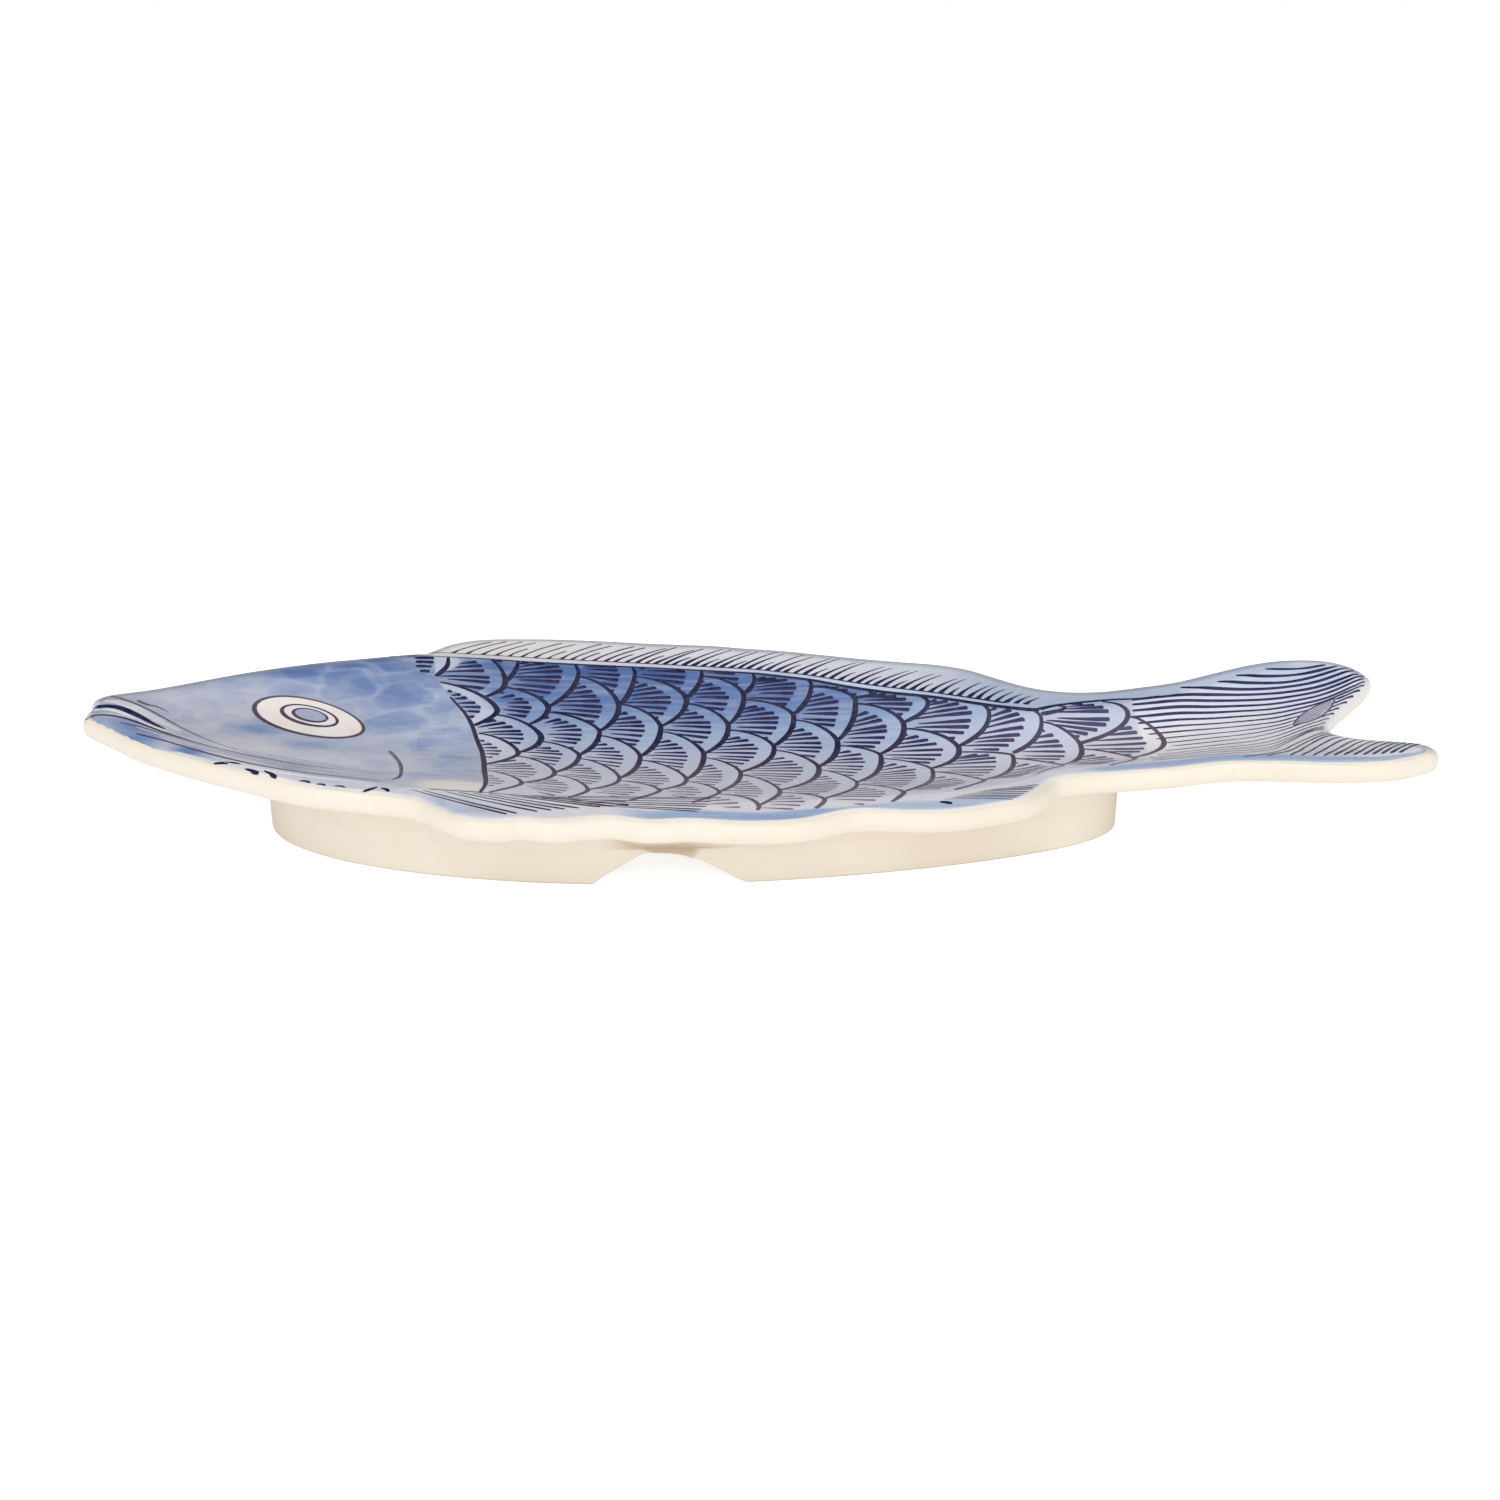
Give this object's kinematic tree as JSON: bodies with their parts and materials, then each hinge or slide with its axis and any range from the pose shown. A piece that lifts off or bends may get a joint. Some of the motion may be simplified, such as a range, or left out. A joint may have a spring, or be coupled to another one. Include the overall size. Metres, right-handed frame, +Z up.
{
  "type": "fish shaped platter",
  "caption": "Long shallow serving platter in the outline of a whole fish, with a printed scale pattern, a rounded rim and a curved foot ring with drain notches.",
  "frame": {"origin": "middle of the platter's outer length and width, on the table under the foot", "axes": "-X towards the snout, +X towards the tail, +Y towards the dorsal fin, +Z up"},
  "size_m": [0.3559, 0.153, 0.0278],
  "materials": {
    "dish_body": "glossy cream glaze with a softly rounded rim lip",
    "foot_head": "cream glaze, satin on the standing edge",
    "foot_tail": "cream glaze, satin on the standing edge",
    "print_head": "blue and lavender wash with a cream eye and dark brush lines, under gloss",
    "print_flank": "navy brush scales with pale blue crescents, under gloss",
    "print_dorsal_fin": "pale fin with slanted dark strokes, under gloss",
    "print_belly_fins": "watery pale blue band with fine fin strokes, under gloss",
    "print_tail": "long flowing tail strokes from navy to grey, under gloss"
  },
  "bodies": {
    "root": {"dish_body": "dish_body", "foot_head": "foot_head", "foot_tail": "foot_tail", "print_head": "print_head", "print_flank": "print_flank", "print_dorsal_fin": "print_dorsal_fin", "print_belly_fins": "print_belly_fins", "print_tail": "print_tail"}
  },
  "joints": []
}
